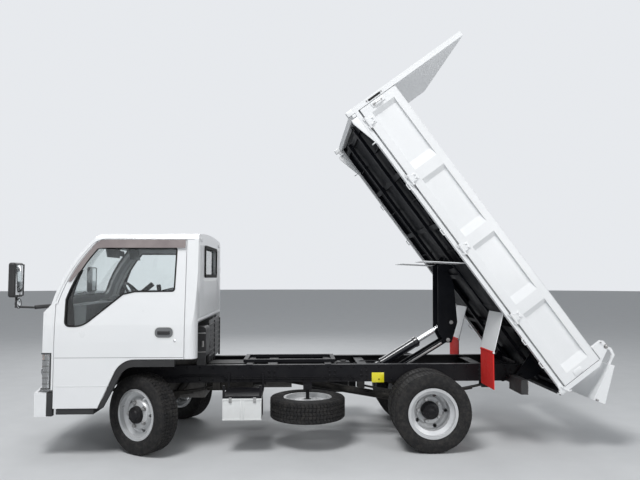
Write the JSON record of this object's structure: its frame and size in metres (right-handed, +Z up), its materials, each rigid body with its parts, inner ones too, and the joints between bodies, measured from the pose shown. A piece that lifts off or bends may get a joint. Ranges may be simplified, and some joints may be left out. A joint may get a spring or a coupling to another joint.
{
  "type": "dump truck",
  "caption": "Light cab-over dump truck with raised steel bed, top-hung tailgate, underbody hoist, twin rear wheels and steered front wheels.",
  "frame": {"origin": "on the ground, midway between the vehicle's ends and on its centre line, 985 mm ahead of the rear axle", "axes": "+X forward, +Y to the vehicle's left, +Z up"},
  "size_m": [5.2201, 2.074, 3.7573],
  "materials": {
    "white_paint": "gloss enamel",
    "black_paint": "satin paint",
    "chrome": "polished",
    "cast_engine": "matte",
    "tyre_rubber": "matte",
    "silver_rim": "satin paint",
    "red_flap": "matte",
    "black_plastic": "matte",
    "white_plastic": "gloss",
    "grey_plastic": "matte",
    "seat_fabric": "woven",
    "lamp_plastic": "clear lens over reflector",
    "window_glass": "tinted"
  },
  "bodies": {
    "chassis": {"frame_rails": "black_paint", "cross_members": "black_paint", "subframe": "black_paint", "leaf_springs": "black_paint", "front_axle": "black_paint", "rear_axle": "black_paint", "engine": "cast_engine", "driveline": "black_paint", "exhaust": "black_paint", "fuel_tank": "black_paint", "battery_box": "white_plastic", "frame_brackets": "black_paint", "air_cleaner": "black_plastic", "spare_tyre": "tyre_rubber", "spare_rim": "silver_rim", "front_bumper": "white_plastic", "tail_lamps": "black_plastic"},
    "bed": {"bed_floor": "white_paint", "bed_frame": "black_paint", "headboard": "white_paint", "rear_fenders": "white_paint"},
    "tailgate": {"tailgate": "white_paint"},
    "side_gate_left": {"side_gate_left": "white_paint"},
    "side_gate_right": {"side_gate_right": "white_paint"},
    "mud_flaps": {"mud_flaps": "red_flap"},
    "lift_arm": {"lift_arm": "black_paint"},
    "hoist_links": {"hoist_links": "black_paint"},
    "hoist_barrel": {"hoist_barrel": "black_paint"},
    "hoist_rod": {"hoist_rod": "chrome"},
    "cab": {"cab_shell": "white_paint", "cab_glass": "window_glass", "cab_floor": "grey_plastic", "dashboard": "grey_plastic", "seats": "seat_fabric", "steering_wheel": "black_plastic", "headlamps": "lamp_plastic", "grille": "black_plastic", "arch_trims": "black_plastic", "mirrors": "black_plastic"},
    "door_left": {"door_left": "white_paint", "door_glass_left": "window_glass"},
    "door_right": {"door_right": "white_paint", "door_glass_right": "window_glass"},
    "knuckle_left": {"knuckle_left": "black_paint"},
    "knuckle_right": {"knuckle_right": "black_paint"},
    "front_wheel_left": {"front_rim_left": "silver_rim", "front_tyre_left": "tyre_rubber"},
    "front_wheel_right": {"front_rim_right": "silver_rim", "front_tyre_right": "tyre_rubber"},
    "rear_wheels_left": {"rear_rims_left": "silver_rim", "rear_tyres_left": "tyre_rubber"},
    "rear_wheels_right": {"rear_rims_right": "silver_rim", "rear_tyres_right": "tyre_rubber"}
  },
  "joints": [
    {"name": "bed_dump", "type": "hinge", "parent": "chassis", "child": "bed", "pos_m": [-1.908, 0, 0.596], "axis": [0, 1, 0], "range_deg": [0, 53.6]},
    {"name": "lift_arm_swing", "type": "hinge", "parent": "bed", "child": "lift_arm", "pos_m": [-1.235, 0, 1.625], "axis": [0, 1, 0], "range_deg": [0, 23.06]},
    {"name": "hoist_link_swing", "type": "hinge", "parent": "chassis", "child": "hoist_links", "pos_m": [-0.73, 0, 0.585], "axis": [0, 1, 0], "range_deg": [-33.69, 0]},
    {"name": "hoist_barrel_swing", "type": "hinge", "parent": "chassis", "child": "hoist_barrel", "pos_m": [-0.601, 0, 0.652], "axis": [0, 1, 0], "range_deg": [-33.85, 0]},
    {"name": "hoist_rod_slide", "type": "slide", "parent": "hoist_barrel", "child": "hoist_rod", "axis": [-0.8538, 0, 0.5206], "range_m": [-0.22398, 0]},
    {"name": "mud_flap_swing", "type": "hinge", "parent": "bed", "child": "mud_flaps", "pos_m": [-1.53279, 0, 0.86939], "axis": [0, 1, 0], "range_deg": [-53.61, 0]},
    {"name": "tailgate_swing", "type": "hinge", "parent": "bed", "child": "tailgate", "pos_m": [-2.51395, 0, 0.92844], "axis": [0, 1, 0], "range_deg": [-26.3, 60]},
    {"name": "side_gate_left_swing", "type": "hinge", "parent": "bed", "child": "side_gate_left", "pos_m": [-1.49791, 0.859, 1.44039], "axis": [-0.5934, 0, -0.8049], "range_deg": [0, 165]},
    {"name": "side_gate_right_swing", "type": "hinge", "parent": "bed", "child": "side_gate_right", "pos_m": [-1.49791, -0.859, 1.44039], "axis": [0.5934, 0, 0.8049], "range_deg": [0, 165]},
    {"name": "cab_tilt", "type": "hinge", "parent": "chassis", "child": "cab", "pos_m": [2.345, 0, 0.66], "axis": [0, 1, 0], "range_deg": [0, 40]},
    {"name": "door_left_swing", "type": "hinge", "parent": "cab", "child": "door_left", "pos_m": [2.284, 0.845, 0.64], "axis": [0, 0, -1], "range_deg": [0, 68]},
    {"name": "door_right_swing", "type": "hinge", "parent": "cab", "child": "door_right", "pos_m": [2.284, -0.845, 0.64], "axis": [0, 0, 1], "range_deg": [0, 68]},
    {"name": "steer_left", "type": "hinge", "parent": "chassis", "child": "knuckle_left", "pos_m": [1.505, 0.598, 0.345], "axis": [0, 0, 1], "range_deg": [-2, 70]},
    {"name": "steer_right", "type": "hinge", "parent": "chassis", "child": "knuckle_right", "pos_m": [1.505, -0.598, 0.345], "axis": [0, 0, 1], "range_deg": [-2, 70]},
    {"name": "front_wheel_left_spin", "type": "hinge", "parent": "knuckle_left", "child": "front_wheel_left", "pos_m": [1.55924, 0.67842, 0.345], "axis": [0.5592, 0.829, 0], "continuous": true},
    {"name": "rear_wheels_left_spin", "type": "hinge", "parent": "chassis", "child": "rear_wheels_left", "pos_m": [-0.985, 0.6025, 0.345], "axis": [0, 1, 0], "continuous": true},
    {"name": "front_wheel_right_spin", "type": "hinge", "parent": "knuckle_right", "child": "front_wheel_right", "pos_m": [1.45076, -0.67842, 0.345], "axis": [0.5592, 0.829, 0], "continuous": true},
    {"name": "rear_wheels_right_spin", "type": "hinge", "parent": "chassis", "child": "rear_wheels_right", "pos_m": [-0.985, -0.6025, 0.345], "axis": [0, 1, 0], "continuous": true}
  ],
  "couplings": [
    {"joint": "lift_arm_swing", "follows": "bed_dump", "ratio": 0.43012},
    {"joint": "hoist_link_swing", "follows": "bed_dump", "ratio": -0.62829},
    {"joint": "hoist_barrel_swing", "follows": "bed_dump", "ratio": -0.6313},
    {"joint": "hoist_rod_slide", "follows": "bed_dump", "m_per_rad": -0.23932},
    {"joint": "mud_flap_swing", "follows": "bed_dump", "ratio": -1},
    {"joint": "steer_right", "follows": "steer_left", "ratio": 1}
  ]
}
